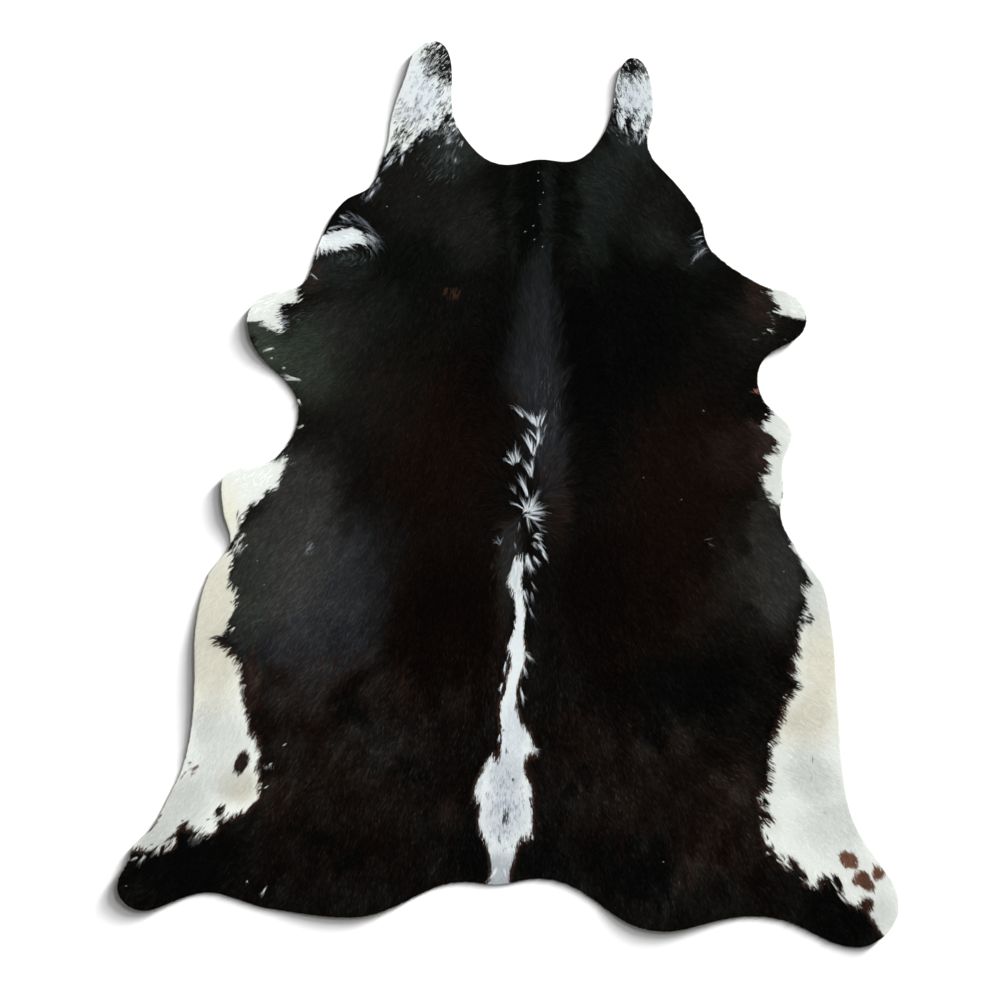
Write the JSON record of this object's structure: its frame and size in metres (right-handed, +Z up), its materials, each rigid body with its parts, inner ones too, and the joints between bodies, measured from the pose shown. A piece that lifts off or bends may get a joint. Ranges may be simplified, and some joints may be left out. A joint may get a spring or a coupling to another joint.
{
  "type": "cowhide rug",
  "caption": "Natural cowhide floor rug, hair side up: a whole hide in black with white flanks, white neck flaps and a white stripe on the backbone, lying flat.",
  "frame": {"origin": "on the floor, under the middle of the hide's bounding box", "axes": "+X across the hide, +Y along the backbone towards the neck, +Z up, out of the coat"},
  "size_m": [1.836, 2.13, 0.0139],
  "materials": {
    "coat": "short glossy cow hair on a tanned skin, black with white marks",
    "skin": "pale suede flesh side and cut edge of chrome-tanned hide"
  },
  "bodies": {
    "root": {"hide": "coat"}
  },
  "joints": []
}
